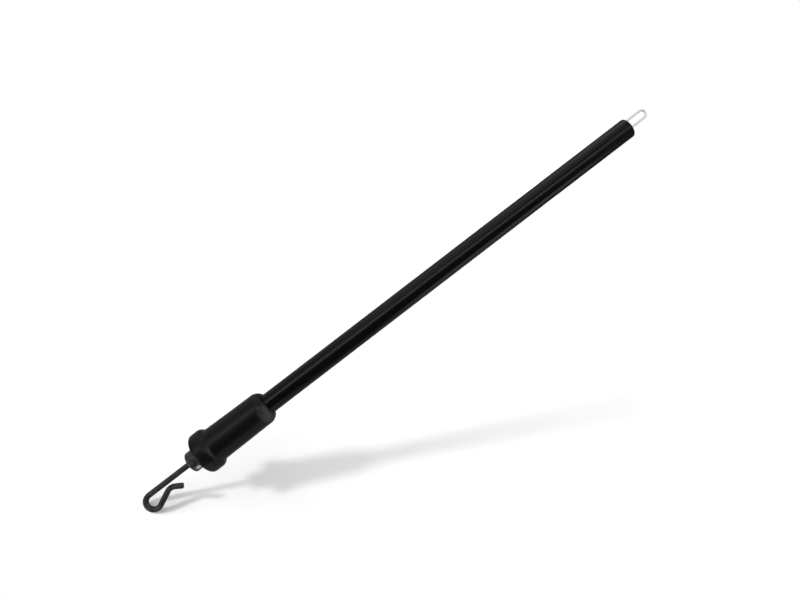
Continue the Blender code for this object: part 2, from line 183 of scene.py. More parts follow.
class Graph:
    """The node tree of a material or of the surround."""

    MIX_FIRST: ClassVar[int] = 6
    MIX_SECOND: ClassVar[int] = 7
    MIX_RESULT: ClassVar[int] = 2

    def __init__(self, tree: bpy.types.NodeTree, material: bpy.types.Material | None = None) -> None:
        """Wraps a node tree.

        Args:
            tree: The tree.
            material: The material that owns it, if one does.
        """
        self.tree = tree
        self.material = material
        self.shader = tree.nodes.get("Principled BSDF")

    @classmethod
    def of_material(cls, name: str) -> "Graph":
        """Makes a plain material and wraps its tree.

        Args:
            name: The material's name.

        Returns:
            The graph.
        """
        material = bpy.data.materials.new(name)
        material.use_nodes = True
        return cls(material.node_tree, material)

    def node(self, kind: str, settings: dict[str, Any], sockets: dict[Any, Any]) -> bpy.types.Node:
        """Adds a node.

        Args:
            kind: The node's type name.
            settings: Its settings, and under "stops" a ramp's positions and grey levels.
            sockets: Values or links for its inputs, by name or number.

        Returns:
            The new node.
        """
        node = self.tree.nodes.new(kind)
        for key, setting in settings.items():
            if key == "stops":
                self._set_stops(node.color_ramp, setting)
            else:
                setattr(node, key, setting)
        for key, value in sockets.items():
            self.feed(node.inputs[key], value)
        return node

    @staticmethod
    def _set_stops(ramp: bpy.types.ColorRamp, stops: Stops) -> None:
        """Gives a colour ramp its grey stops.

        Args:
            ramp: The ramp.
            stops: Positions and grey levels, in order.
        """
        while len(ramp.elements) < len(stops):
            ramp.elements.new(1.0)
        for element, (position, grey) in zip(ramp.elements, stops):
            element.position = position
            element.color = (grey, grey, grey, 1.0)

    def feed(self, target: bpy.types.NodeSocket, value: Any) -> None:
        """Links a value or socket to an input, or sets a constant on it.

        Args:
            target: The input socket.
            value: A Value, an output socket, a number or a colour.
        """
        if isinstance(value, Value):
            self.tree.links.new(value.socket, target)
        elif isinstance(value, bpy.types.NodeSocket):
            self.tree.links.new(value, target)
        else:
            target.default_value = value

    def vectors(self, operation: str, *inputs: Any) -> bpy.types.Node:
        """Adds a Vector Math node.

        Args:
            operation: The node's operation.
            inputs: Its vectors, in order.

        Returns:
            The new node.
        """
        return self.node("ShaderNodeVectorMath", {"operation": operation}, dict(enumerate(inputs)))

    def place(self, offset: Vector, scale: Sequence[float]) -> bpy.types.NodeSocket:
        """Object coordinates, moved and then stretched.

        Args:
            offset: The point that becomes the pattern's origin.
            scale: The pattern's repeats per metre along each axis.

        Returns:
            The vector output.
        """
        coordinates = self.node("ShaderNodeTexCoord", {}, {}).outputs["Object"]
        moved = self.vectors("SUBTRACT", coordinates, tuple(offset)).outputs[0]
        return self.vectors("MULTIPLY", moved, tuple(scale)).outputs[0]

    def noise(self, axis: Vector, cells: Noise) -> Value:
        """Soft noise, from 0 to 1.

        Args:
            axis: A point on the pole's axis.
            cells: How close and how fine the noise is.

        Returns:
            The noise.
        """
        sockets = {
            "Vector": self.place(axis, (cells.along, cells.across, cells.across)),
            "Scale": 1.0,
            "Detail": cells.detail,
            "Roughness": cells.roughness,
        }
        return Value(self, self.node("ShaderNodeTexNoise", {}, sockets).outputs[0])

    def ramp(self, value: Value, stops: Stops) -> Value:
        """A value passed through a ramp of grey stops.

        Args:
            value: What to remap.
            stops: Positions and levels, in order.

        Returns:
            The remapped value.
        """
        return Value(self, self.node("ShaderNodeValToRGB", {"stops": stops}, {0: value}).outputs[0])

    def distance(self, centre: Vector, along: float, across: float) -> Value:
        """The distance from a point, stretched along or across the pole.

        Args:
            centre: The point.
            along: What a metre along the pole counts for.
            across: What a metre across it counts for.

        Returns:
            The distance.
        """
        stretched = self.place(centre, (along, across, across))
        return Value(self, self.vectors("LENGTH", stretched).outputs["Value"])

    def travel(self, start: Vector, direction: Vector) -> Value:
        """The distance from a point along a direction, in metres.

        Args:
            start: The point.
            direction: The direction, of length 1.

        Returns:
            The distance.
        """
        dot = self.vectors("DOT_PRODUCT", self.place(start, (1.0, 1.0, 1.0)), tuple(direction))
        return Value(self, dot.outputs["Value"])

    def blend(
        self, mask: Value, low: Colour | bpy.types.NodeSocket, high: Colour | bpy.types.NodeSocket
    ) -> bpy.types.NodeSocket:
        """A colour between two, by a mask.

        Args:
            mask: 0 for the first colour, 1 for the second.
            low: The first colour.
            high: The second colour.

        Returns:
            The mixed colour.
        """
        sockets = {0: mask}
        for number, colour in ((self.MIX_FIRST, low), (self.MIX_SECOND, high)):
            sockets[number] = colour if isinstance(colour, bpy.types.NodeSocket) else (*colour, 1.0)
        return self.node("ShaderNodeMix", {"data_type": "RGBA"}, sockets).outputs[self.MIX_RESULT]

    def bump(self, height: Value, depth: float) -> bpy.types.NodeSocket:
        """A bumped normal.

        Args:
            height: The relief, from 0 to 1.
            depth: How deep the relief is, in metres.

        Returns:
            The normal.
        """
        sockets = {"Strength": 1.0, "Distance": depth, "Height": height}
        return self.node("ShaderNodeBump", {}, sockets).outputs[0]

    def met_by(self, *kinds: Ray) -> Value:
        """1 where a ray of one of these kinds meets the surface, and 0 for other rays.

        Args:
            kinds: The kinds of ray.

        Returns:
            The switch.
        """
        path = self.node("ShaderNodeLightPath", {}, {})
        switches = [Value(self, path.outputs[kind.value]) for kind in kinds]
        return reduce(Value.at_least, switches)

    def paint(self, **sockets: Any) -> None:
        """Sets the shader's inputs.

        Args:
            sockets: Values by input name, with underscores for spaces.
        """
        for key, value in sockets.items():
            self.feed(self.shader.inputs[key.replace("_", " ")], value)


@dataclass(frozen=True)
class TubePaint:
    """Semi-gloss black paint on a drawn tube, with fine streaks along its length and faint scuffs."""

    axis: Vector
    low: Colour = (0.0012, 0.0012, 0.0013)
    high: Colour = (0.0040, 0.0040, 0.0042)
    streaks: Noise = Noise(18.0, 900.0, 4.0)
    clouds: Noise = Noise(40.0, 160.0, 3.0)
    grain: Noise = Noise(2600.0, 2600.0, 2.0)
    scuffs: Noise = Noise(90.0, 1500.0, 5.0)
    scuff_edges: Stops = ((0.60, 0.0), (0.78, 1.0))
    roughness: float = 0.18
    roughness_spread: float = 0.10
    relief: float = 0.012 * MM
    gloss: float = 0.17

    def make(self) -> bpy.types.Material:
        """Builds the material.

        Returns:
            The tube's paint.
        """
        graph = Graph.of_material("tube_paint")
        streaks = graph.noise(self.axis, self.streaks)
        clouds = graph.noise(self.axis, self.clouds)
        grain = graph.noise(self.axis, self.grain)
        scuffs = graph.ramp(graph.noise(self.axis, self.scuffs), self.scuff_edges)
        mask = (streaks * 0.5 + clouds * 0.3 + scuffs * 0.5).at_most(1.0)
        graph.paint(
            Base_Color=graph.blend(mask, self.low, self.high),
            Roughness=self.roughness + (clouds + scuffs) * self.roughness_spread,
            Normal=graph.bump(grain * 0.5 + streaks * 0.5, self.relief),
            Specular_IOR_Level=self.gloss,
        )
        return graph.material


@dataclass(frozen=True)
class BufferRubber:
    """Satin black rubber with a fine grain, greyer on the flange's rim, with a painted highlight on the
    shoulder.
    """

    axis: Vector
    rim_radius: float
    # Painted highlight on the shoulder: its middle, its size and its ragged edge.
    highlight_centre: Vector
    highlight_length: float = 6.4 * MM
    highlight_width: float = 12.0 * MM
    highlight_raggedness: float = 1.2
    low: Colour = (0.0018, 0.0018, 0.0019)
    high: Colour = (0.0056, 0.0056, 0.0058)
    # The painted highlight's paler colour.
    rub_and_highlight: Colour = (0.040, 0.040, 0.040)
    grain: Noise = Noise(1800.0, 1800.0, 2.0)
    clouds: Noise = Noise(120.0, 120.0, 4.0)
    blots: Noise = Noise(330.0, 330.0, 4.0)
    rim_edges: Stops = ((0.95, 0.0), (1.0, 1.0))
    wear_edges: Stops = ((0.35, 0.0), (0.75, 1.0))
    wear_and_highlight_edges: Stops = ((0.0, 0.0), (0.75, 1.0))
    roughness: float = 0.32
    roughness_spread: float = 0.12
    wear_roughness: float = 0.08
    relief: float = 0.020 * MM
    gloss: float = 0.17

    def make(self) -> bpy.types.Material:
        """Builds the material.

        Returns:
            The buffer's rubber.
        """
        graph = Graph.of_material("buffer_rubber")
        grain = graph.noise(self.axis, self.grain)
        clouds = graph.noise(self.axis, self.clouds)
        blots = graph.noise(self.axis, self.blots)
        rim = graph.ramp(graph.distance(self.axis, 0.0, 1.0 / self.rim_radius), self.rim_edges)
        wear = rim * graph.ramp(clouds, self.wear_edges)
        # Painted highlight: a paler, slightly rougher patch on the shoulder's -Y side.
        away = graph.distance(self.highlight_centre, 1.0 / self.highlight_length, 1.0 / self.highlight_width)
        painted_highlight = graph.ramp(1.0 - away + (blots - 0.5) * self.highlight_raggedness, self.wear_and_highlight_edges)
        black = graph.blend((clouds * 0.5 + wear * 0.4).at_most(1.0), self.low, self.high)
        graph.paint(
            Base_Color=graph.blend(painted_highlight, black, self.rub_and_highlight),
            Roughness=self.roughness + (clouds + painted_highlight) * self.roughness_spread + wear * self.wear_roughness,
            Normal=graph.bump(grain, self.relief),
            Specular_IOR_Level=self.gloss,
        )
        return graph.material


@dataclass(frozen=True)
class TurnedSteel:
    """Blackened turned steel with fine rings from the lathe, and a painted highlight: a bright bare patch
    on one side.
    """

    axis: Vector
    # Painted highlight: where the bright bare-metal patch sits on the nose, its size and its ragged edge.
    highlight_centre: Vector
    highlight_length: float = 3.1 * MM
    highlight_width: float = 2.3 * MM
    highlight_raggedness: float = 1.4
    dark: Colour = (0.030, 0.030, 0.030)
    light: Colour = (0.078, 0.077, 0.076)
    # The painted highlight's bare-metal colour.
    highlight_colour: Colour = (0.560, 0.555, 0.545)
    rings: Noise = Noise(5200.0, 60.0, 2.0)
    tarnish: Noise = Noise(260.0, 260.0, 4.0)
    grain: Noise = Noise(900.0, 1500.0, 4.0)
    tarnish_edges: Stops = ((0.30, 0.0), (0.70, 1.0))
    wear_and_highlight_edges: Stops = ((0.10, 0.0), (0.45, 1.0))
    roughness: float = 0.34
    roughness_spread: float = 0.14
    metallic: float = 0.75
    relief: float = 0.010 * MM
    gloss: float = 0.2

    def make(self) -> bpy.types.Material:
        """Builds the material.

        Returns:
            The nose's steel.
        """
        graph = Graph.of_material("nose_steel")
        rings = graph.noise(self.axis, self.rings)
        tarnish = graph.noise(self.axis, self.tarnish)
        grain = graph.noise(self.axis, self.grain)
        # Painted highlight: a bright bare-metal patch on the nose's lower side, blended over the oxide.
        away = graph.distance(self.highlight_centre, 1.0 / self.highlight_length, 1.0 / self.highlight_width)
        rub_and_highlight = graph.ramp(1.0 - away + (grain - 0.5) * self.highlight_raggedness, self.wear_and_highlight_edges)
        oxide = graph.blend(graph.ramp(tarnish, self.tarnish_edges), self.dark, self.light)
        graph.paint(
            Base_Color=graph.blend(rub_and_highlight, oxide, self.highlight_colour),
            Roughness=self.roughness + rings * self.roughness_spread,
            Metallic=self.metallic + rub_and_highlight * (1.0 - self.metallic),
            Normal=graph.bump(rings, self.relief),
            Specular_IOR_Level=self.gloss,
        )
        return graph.material


@dataclass(frozen=True)
class OxidedWire:
    """Dark oxide steel wire with draw lines along it and paler rubbed patches."""

    axis: Vector
    name: str = "hook_wire"
    dark: Colour = (0.026, 0.025, 0.024)
    light: Colour = (0.090, 0.088, 0.086)
    lines: Noise = Noise(120.0, 2400.0, 4.0)
    patches: Noise = Noise(330.0, 330.0, 3.0)
    wear_and_highlight_edges: Stops = ((0.38, 0.0), (0.66, 1.0))
    roughness: float = 0.36
    roughness_spread: float = 0.18
    metallic: float = 0.75
    relief: float = 0.012 * MM
    gloss: float = 0.2

    def make(self) -> bpy.types.Material:
        """Builds the material.

        Returns:
            The dark wire.
        """
        graph = Graph.of_material(self.name)
        lines = graph.noise(self.axis, self.lines)
        patches = graph.noise(self.axis, self.patches)
        rub_and_highlight = graph.ramp(lines * 0.6 + patches * 0.4, self.wear_and_highlight_edges)
        graph.paint(
            Base_Color=graph.blend(rub_and_highlight, self.dark, self.light),
            Roughness=self.roughness + lines * self.roughness_spread,
            Metallic=self.metallic,
            Normal=graph.bump(lines, self.relief),
            Specular_IOR_Level=self.gloss,
        )
        return graph.material


@dataclass(frozen=True)
class PlainMetal:
    """A plain metal of one kind, slightly clouded, with fine grain in its sheen."""

    axis: Vector
    name: str
    dark: Colour
    light: Colour
    roughness: float
    metallic: float = 1.0
    relief: float = 0.006 * MM
    clouds: Noise = Noise(420.0, 420.0, 3.0)
    grain: Noise = Noise(3000.0, 3000.0, 2.0)
    roughness_spread: float = 0.12

    def make(self) -> bpy.types.Material:
        """Builds the material.

        Returns:
            The metal.
        """
        graph = Graph.of_material(self.name)
        clouds = graph.noise(self.axis, self.clouds)
        grain = graph.noise(self.axis, self.grain)
        graph.paint(
            Base_Color=graph.blend(clouds, self.dark, self.light),
            Roughness=self.roughness + (grain - 0.5) * self.roughness_spread,
            Metallic=self.metallic,
            Normal=graph.bump(grain, self.relief),
        )
        return graph.material


@dataclass(frozen=True)
class PlugNylon:
    """Matt black moulded nylon."""

    axis: Vector
    low: Colour = (0.0060, 0.0060, 0.0062)
    high: Colour = (0.0160, 0.0160, 0.0164)
    grain: Noise = Noise(2400.0, 2400.0, 3.0)
    roughness: float = 0.50
    roughness_spread: float = 0.12
    relief: float = 0.015 * MM

    def make(self) -> bpy.types.Material:
        """Builds the material.

        Returns:
            The plug's nylon.
        """
        graph = Graph.of_material("plug_nylon")
        grain = graph.noise(self.axis, self.grain)
        graph.paint(
            Base_Color=graph.blend(grain, self.low, self.high),
            Roughness=self.roughness + grain * self.roughness_spread,
            Normal=graph.bump(grain, self.relief),
        )
        return graph.material


def spring_steel(axis: Vector, name: str) -> PlainMetal:
    """The finish of the spring and of the rings round it.

    Args:
        axis: A point on the pole's axis.
        name: The material's name.

    Returns:
        The finish.
    """
    return PlainMetal(axis, name, dark=(0.22, 0.22, 0.23), light=(0.38, 0.38, 0.39), roughness=0.34)


def level(angle: float) -> Vector:
    """The level direction at an angle from X, anticlockwise seen from above."""
    return Vector((math.cos(angle), math.sin(angle), 0.0))


class Shape:
    """A mesh in the making: turned outlines and bent wire, made with bmesh operators."""

    ARC_STEP: ClassVar[float] = 0.35 * MM
    LEAST_SEGMENTS: ClassVar[int] = 3
    MERGE_DISTANCE: ClassVar[float] = 0.001 * MM

    def __init__(self, axis: Vector) -> None:
        """Starts an empty shape.

        Args:
            axis: A point on the pole's axis, which runs along X.
        """
        self.mesh = bmesh.new()
        self.axis = axis

    def _round(self, geom: Sequence[Any], amount: float, affect: str, segments: int) -> None:
        """Rounds corners or edges.

        Args:
            geom: The corners or edges.
            amount: The rounding.
            affect: Whether it rounds VERTICES or EDGES.
            segments: How many steps the rounding has.
        """
        bmesh.ops.bevel(
            self.mesh,
            geom=geom,
            offset=amount,
            offset_type="OFFSET",
            affect=affect,
            segments=segments,
            profile=0.5,
            material=-1,
        )

    def turn(self, corners: Sequence[tuple[float, float, float]], sides: int) -> None:
        """Spins a closed outline round the pole's axis, in a shape that is still empty.

        Args:
            corners: Each corner's x, radius and rounding.
            sides: How many steps the spin has.
        """
        points = [Vector((x, 0.0, self.axis.z)) + UP * radius for x, radius, _ in corners]
        verts = [self.mesh.verts.new(point) for point in points]
        self.mesh.faces.new(verts)
        for vert, (_, _, rounding) in zip(verts, corners):
            if rounding > 0.0:
                segments = max(self.LEAST_SEGMENTS, math.ceil(rounding / self.ARC_STEP))
                self._round([vert], rounding, "VERTICES", segments)
        bmesh.ops.delete(self.mesh, geom=self.mesh.faces[:], context="FACES_ONLY")
        bmesh.ops.spin(
            self.mesh,
            geom=self.mesh.verts[:] + self.mesh.edges[:],
            cent=self.axis,
            axis=ALONG,
            angle=FULL_TURN,
            steps=sides,
            use_merge=True,
        )

    def disc(self, centre: Vector, facing: Vector, radius: float, sides: int) -> bmesh.types.BMFace:
        """Adds a round face.

        Args:
            centre: Its middle.
            facing: The way that it faces.
            radius: Its radius.
            sides: How many corners it has.

        Returns:
            The face.
        """
        place = Matrix.Translation(centre) @ UP.rotation_difference(facing).to_matrix().to_4x4()
        made = bmesh.ops.create_circle(
            self.mesh, cap_ends=True, segments=sides, radius=radius, matrix=place
        )
        return made["verts"][0].link_faces[0]

    def straight(self, face: bmesh.types.BMFace, travel: Vector) -> bmesh.types.BMFace:
        """Extrudes a wire's end face along a line.

        Args:
            face: The end face.
            travel: How far and which way it goes.

        Returns:
            The new end face.
        """
        grown = bmesh.ops.extrude_discrete_faces(self.mesh, faces=[face])["faces"][0]
        bmesh.ops.translate(self.mesh, verts=grown.verts[:], vec=travel)
        return grown

    def bend(
        self, face: bmesh.types.BMFace, centre: Vector, angle: float, steps: int
    ) -> bmesh.types.BMFace:
        """Swings a wire's end face round an upright line.

        Args:
            face: The end face.
            centre: A point on the line.
            angle: The turn, positive anticlockwise seen from above.
            steps: How many steps the bend has.

        Returns:
            The new end face.
        """
        turn = Matrix.Rotation(angle / steps, 3, "Z")
        for _ in range(steps):
            face = self.straight(face, Vector())
            bmesh.ops.rotate(self.mesh, verts=face.verts[:], cent=centre, matrix=turn)
        return face

    def cap(self) -> None:
        """Closes a wire's open ends."""
        bmesh.ops.holes_fill(self.mesh, edges=[edge for edge in self.mesh.edges if edge.is_boundary])

    def soften(self, face: bmesh.types.BMFace, amount: float) -> None:
        """Rounds the rim of a wire's end face.

        Args:
            face: The end face.
            amount: The rounding.
        """
        self._round(face.edges[:], amount, "EDGES", self.LEAST_SEGMENTS)

    def finish(self, name: str, sharp_degrees: float = 40.0) -> bpy.types.Object:
        """Merges the shape's doubles and puts it into the scene, smooth but for its sharp edges.

        Args:
            name: The piece's name.
            sharp_degrees: The least angle of a sharp edge.

        Returns:
            The new piece.
        """
        bmesh.ops.remove_doubles(self.mesh, verts=self.mesh.verts, dist=self.MERGE_DISTANCE)
        bmesh.ops.recalc_face_normals(self.mesh, faces=self.mesh.faces)
        mesh = bpy.data.meshes.new(name)
        self.mesh.to_mesh(mesh)
        self.mesh.free()
        for face in mesh.polygons:
            face.use_smooth = True
        mesh.set_sharp_from_angle(angle=math.radians(sharp_degrees))
        piece = bpy.data.objects.new(name, mesh)
        bpy.context.scene.collection.objects.link(piece)
        return piece


def round_spot(axis: Vector, x: float, radius: float, angle: float) -> Vector:
    """A point on a round surface about the pole's axis.

    Args:
        axis: A point on the axis.
        x: The point's place along the pole.
        radius: The surface's radius.
        angle: The turn from the top towards -Y.

    Returns:
        The point.
    """
    return Vector((x, axis.y - radius * math.sin(angle), axis.z + radius * math.cos(angle)))


def settle(piece: bpy.types.Object, body: Body, node: str, finish: bpy.types.Material) -> None:
    """Dresses a new piece and puts it in the place of its solid.

    Args:
        piece: The new piece.
        body: The body that it rides on.
        node: The solid that it stands for.
        finish: Its material.
    """
    piece.data.materials.append(finish)
    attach(piece, body.value)
    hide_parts(node)
    LOG.info("%s: %d faces in place of %s", piece.name, len(piece.data.polygons), node)


@dataclass
class Tube:
    """The slim black tube, from inside the buffer to the tail."""

    axis: Vector
    wall: float = 1.0 * MM
    rim_rounding: float = 0.80 * MM
    bore_rounding: float = 0.15 * MM
    sides: int = 96

    def build(self) -> None:
        """Models the tube and paints it."""
        low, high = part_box("pole_tube")
        radius = (high.y - low.y) / 2
        bore = radius - self.wall
        shape = Shape(self.axis)
        shape.turn(
            (
                (low.x, bore, 0.0),
                (low.x, radius, 0.0),
                (high.x, radius, self.rim_rounding),
                (high.x, bore, self.bore_rounding),
            ),
            self.sides,
        )
        settle(shape.finish("tube_skin"), Body.POLE, "pole_tube", TubePaint(self.axis).make())


@dataclass
class Buffer:
    """The moulded rubber buffer: flange, tapering barrel and round shoulder."""

    axis: Vector
    flange_length: float = 13.4 * MM
    front_rounding: float = 3.0 * MM
    rear_slope: float = 3.1 * MM
    rear_rounding: float = 1.7 * MM
    root_fillet: float = 0.8 * MM
    barrel_front: float = 14.2 * MM
    barrel_rear: float = 13.5 * MM
    shoulder_rounding: float = 4.7 * MM
    shoulder_lean: float = 0.52
    lip_radius: float = 9.35 * MM
    lip_rounding: float = 0.3 * MM
    nose_room: float = 8.75 * MM
    socket_room: float = 10.8 * MM
    tube_room: float = 8.4 * MM
    front_wall: float = 3.3 * MM
    rear_wall: float = 7.1 * MM
    # Where the painted highlight sits on the shoulder: its turn from the top and its distance from the
    # rear.
    highlight_angle: float = math.radians(34.0)
    highlight_station: float = 4.2 * MM
    sharp_degrees: float = 60.0
    sides: int = 128

    def build(self) -> None:
        """Models the buffer and gives it its rubber."""
        low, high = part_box("head_buffer")
        flange = (high.y - low.y) / 2
        root = low.x + self.flange_length
        lean = (self.barrel_rear - self.lip_radius) * self.shoulder_lean
        shape = Shape(self.axis)
        shape.turn(
            (
                (low.x, self.nose_room, self.lip_rounding),
                (low.x, flange, self.front_rounding),
                (root - self.rear_slope, flange, self.rear_rounding),
                (root, self.barrel_front, self.root_fillet),
                (high.x - lean, self.barrel_rear, self.shoulder_rounding),
                (high.x, self.lip_radius, self.lip_rounding),
                (high.x, self.tube_room, 0.0),
                (high.x - self.rear_wall, self.tube_room, 0.0),
                (high.x - self.rear_wall, self.socket_room, 0.0),
                (low.x + self.front_wall, self.socket_room, 0.0),
                (low.x + self.front_wall, self.nose_room, 0.0),
            ),
            self.sides,
        )
        # The middle of the painted highlight on the shoulder.
        highlight_centre = round_spot(self.axis, high.x - self.highlight_station, self.barrel_rear, self.highlight_angle)
        rubber = BufferRubber(self.axis, flange, highlight_centre).make()
        piece = shape.finish("buffer_moulding", self.sharp_degrees)
        settle(piece, Body.POLE, "head_buffer", rubber)


@dataclass
class Nose:
    """The turned socket whose nose guides the hook's shank."""

    axis: Vector
    radius: float = 8.6 * MM
    rounding: float = 0.9 * MM
    length: float = 13.6 * MM
    body_radius: float = 10.5 * MM
    shank_hole: float = 2.4 * MM
    hole_rounding: float = 0.5 * MM
    bearing_bore: float = 4.8 * MM
    front_wall: float = 2.5 * MM
    chamber_start: float = 10.0 * MM
    chamber_bore: float = 7.25 * MM
    tube_bore: float = 8.45 * MM
    tube_seat: float = 18.7 * MM
    # Where the painted highlight sits on the nose: its turn from the top and its distance from the front.
    highlight_angle: float = math.radians(48.0)
    highlight_station: float = 5.1 * MM
    sides: int = 96

    def build(self) -> None:
        """Models the socket and gives it its steel."""
        low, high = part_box("hook_socket")
        front = low.x
        shape = Shape(self.axis)
        shape.turn(
            (
                (front, self.shank_hole, self.hole_rounding),
                (front, self.radius, self.rounding),
                (front + self.length, self.radius, 0.0),
                (front + self.length, self.body_radius, 0.0),
                (high.x, self.body_radius, 0.0),
                (high.x, self.tube_bore, 0.0),
                (high.x - self.tube_seat, self.tube_bore, 0.0),
                (high.x - self.tube_seat, self.chamber_bore, 0.0),
                (front + self.chamber_start, self.chamber_bore, 0.0),
                (front + self.chamber_start, self.bearing_bore, 0.0),
                (front + self.front_wall, self.bearing_bore, 0.0),
                (front + self.front_wall, self.shank_hole, 0.0),
            ),
            self.sides,
        )
        # The middle of the painted highlight on the nose.
        highlight_centre = round_spot(self.axis, front + self.highlight_station, self.radius, self.highlight_angle)
        steel = TurnedSteel(self.axis, highlight_centre).make()
        settle(shape.finish("nose_socket"), Body.POLE, "hook_socket", steel)


@dataclass
class Hook:
    """The bent wire hook: shank, round eye, return leg, crest and flared tip."""

    axis: Vector
    wire_radius: float = 2.3 * MM
    eye_radius: float = 6.2 * MM
    eye_turn: float = math.radians(206.0)
    return_leg: float = 11.9 * MM
    crest_radius: float = 7.2 * MM
    crest_turn: float = math.radians(58.0)
    tip_length: float = 6.5 * MM
    cut_rounding: float = 0.6 * MM
    sides: int = 32
    bend_step: float = math.radians(5.0)

    def build(self) -> None:
        """Models the hook and gives it its dark wire."""
        low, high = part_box("hook")
        shape = Shape(self.axis)
        start = Vector((high.x, self.axis.y, self.axis.z))
        eye = self._eye_centre(low)
        face = shape.disc(start, -ALONG, self.wire_radius, self.sides)
        face = shape.straight(face, ALONG * (eye.x - start.x))
        face = shape.bend(face, eye, self.eye_turn, self._steps(self.eye_turn))
        heading = self.eye_turn - math.pi
        face = shape.straight(face, level(heading) * self.return_leg)
        crest = face.calc_center_median() + level(heading - math.pi / 2) * self.crest_radius
        face = shape.bend(face, crest, -self.crest_turn, self._steps(self.crest_turn))
        face = shape.straight(face, level(heading - self.crest_turn) * self.tip_length)
        shape.soften(face, self.cut_rounding)
        shape.cap()
        piece = shape.finish("hook_bend")
        settle(piece, Body.HOOK, "hook", OxidedWire(self.axis).make())

    def _steps(self, turn: float) -> int:
        """How many steps a bend of this turn has."""
        return math.ceil(turn / self.bend_step)

    def _eye_centre(self, low: Vector) -> Vector:
        """The middle of the eye, from the lowest corner of the solid hook's box."""
        return Vector((low.x + self.wire_radius + self.eye_radius, -self.eye_radius, self.axis.z))

    def foot(self, up: Vector) -> Vector:
        """The point of the eye that touches a floor.

        Args:
            up: The floor's upward direction.

        Returns:
            The eye's lowest point over that floor.
        """
        low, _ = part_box("hook")
        flat = Vector((up.x, up.y, 0.0)).normalized()
        return self._eye_centre(low) - flat * self.eye_radius - up * self.wire_radius


@dataclass
class Loop:
    """The bright U-shaped hanging loop at the tail."""

    axis: Vector
    wire_radius: float = 1.0 * MM
    sides: int = 28
    steps: int = 32
    dull: Colour = (0.77, 0.77, 0.76)
    bright: Colour = (0.87, 0.87, 0.86)
    roughness: float = 0.42
    metallic: float = 0.3
    relief: float = 0.001 * MM

    def build(self) -> None:
        """Models the loop and gives it its bright wire."""
        low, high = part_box("hang_loop")
        bend_radius = (high.y - low.y) / 2 - self.wire_radius
        middle = (high.y + low.y) / 2
        bend_x = high.x - self.wire_radius - bend_radius
        shape = Shape(self.axis)
        start = Vector((low.x, middle - bend_radius, self.axis.z))
        face = shape.disc(start, ALONG, self.wire_radius, self.sides)
        face = shape.straight(face, ALONG * (bend_x - low.x))
        face = shape.bend(face, Vector((bend_x, middle, self.axis.z)), math.pi, self.steps)
        shape.straight(face, ALONG * (low.x - bend_x))
        shape.cap()
        finish = PlainMetal(
            self.axis, "loop_wire", self.dull, self.bright, self.roughness, self.metallic, self.relief
        )
        settle(shape.finish("loop_bend"), Body.POLE, "hang_loop", finish.make())


@dataclass
class TailPin:
    """The pin across the tail, whose ends follow the tube's round surface."""

    axis: Vector
    proud: float = 0.05 * MM
    sides: int = 32

    def build(self) -> None:
        """Models the pin and gives it its dark steel."""
        low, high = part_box("tail_pin")
        shape = Shape(self.axis)
        start = Vector(((low.x + high.x) / 2, low.y, (low.z + high.z) / 2))
        near = shape.disc(start, Vector((0.0, -1.0, 0.0)), (high.x - low.x) / 2, self.sides)
        shape.straight(near, Vector((0.0, high.y - low.y, 0.0)))
        shape.cap()
        caps = [face for face in shape.mesh.faces if len(face.verts) == self.sides]
        bmesh.ops.poke(shape.mesh, faces=caps)
        self._follow_tube(shape)
        piece = shape.finish("tail_pin_flush")
        settle(piece, Body.POLE, "tail_pin", OxidedWire(self.axis, "pin_oxide").make())

    def _follow_tube(self, shape: Shape) -> None:
        """Draws the pin's ends out to the tube's round surface.

        Args:
            shape: The pin.
        """
        low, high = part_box("pole_tube")
        radius = (high.y - low.y) / 2 + self.proud
        for vert in shape.mesh.verts:
            drop = vert.co.z - self.axis.z
            vert.co.y = math.copysign(math.sqrt(radius**2 - drop**2), vert.co.y)


@dataclass
class DrawSpring:
    """The compression spring round the shank, which shortens as the hook is drawn."""

    axis: Vector
    wire_radius: float = 0.6 * MM
    coils: int = 7
    draw: float = 6.0 * MM
    sides: int = 14
    coil_steps: int = 32

    def build(self) -> None:
        """Models the spring, gives it its steel and a mesh of its own."""
        low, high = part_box("draw_spring")
        radius = (high.y - low.y) / 2 - self.wire_radius
        length = high.x - low.x
        run = length - 2 * self.wire_radius
        steps = self.coils * self.coil_steps
        shape = Shape(self.axis)
        start = Vector((low.x + self.wire_radius, self.axis.y + radius, self.axis.z))
        heading = Vector((run, 0.0, FULL_TURN * radius * self.coils)).normalized()
        face = shape.disc(start, heading, self.wire_radius, self.sides)
        bmesh.ops.spin(
            shape.mesh,
            geom=face.verts[:] + face.edges[:] + [face],
            cent=self.axis,
            axis=ALONG,
            dvec=ALONG * (run / steps),
            angle=FULL_TURN * self.coils,
            steps=steps,
        )
        piece = shape.finish("draw_spring_coil")
        settle(piece, Body.POLE, "draw_spring", spring_steel(self.axis, "spring_coil").make())
        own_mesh(piece)


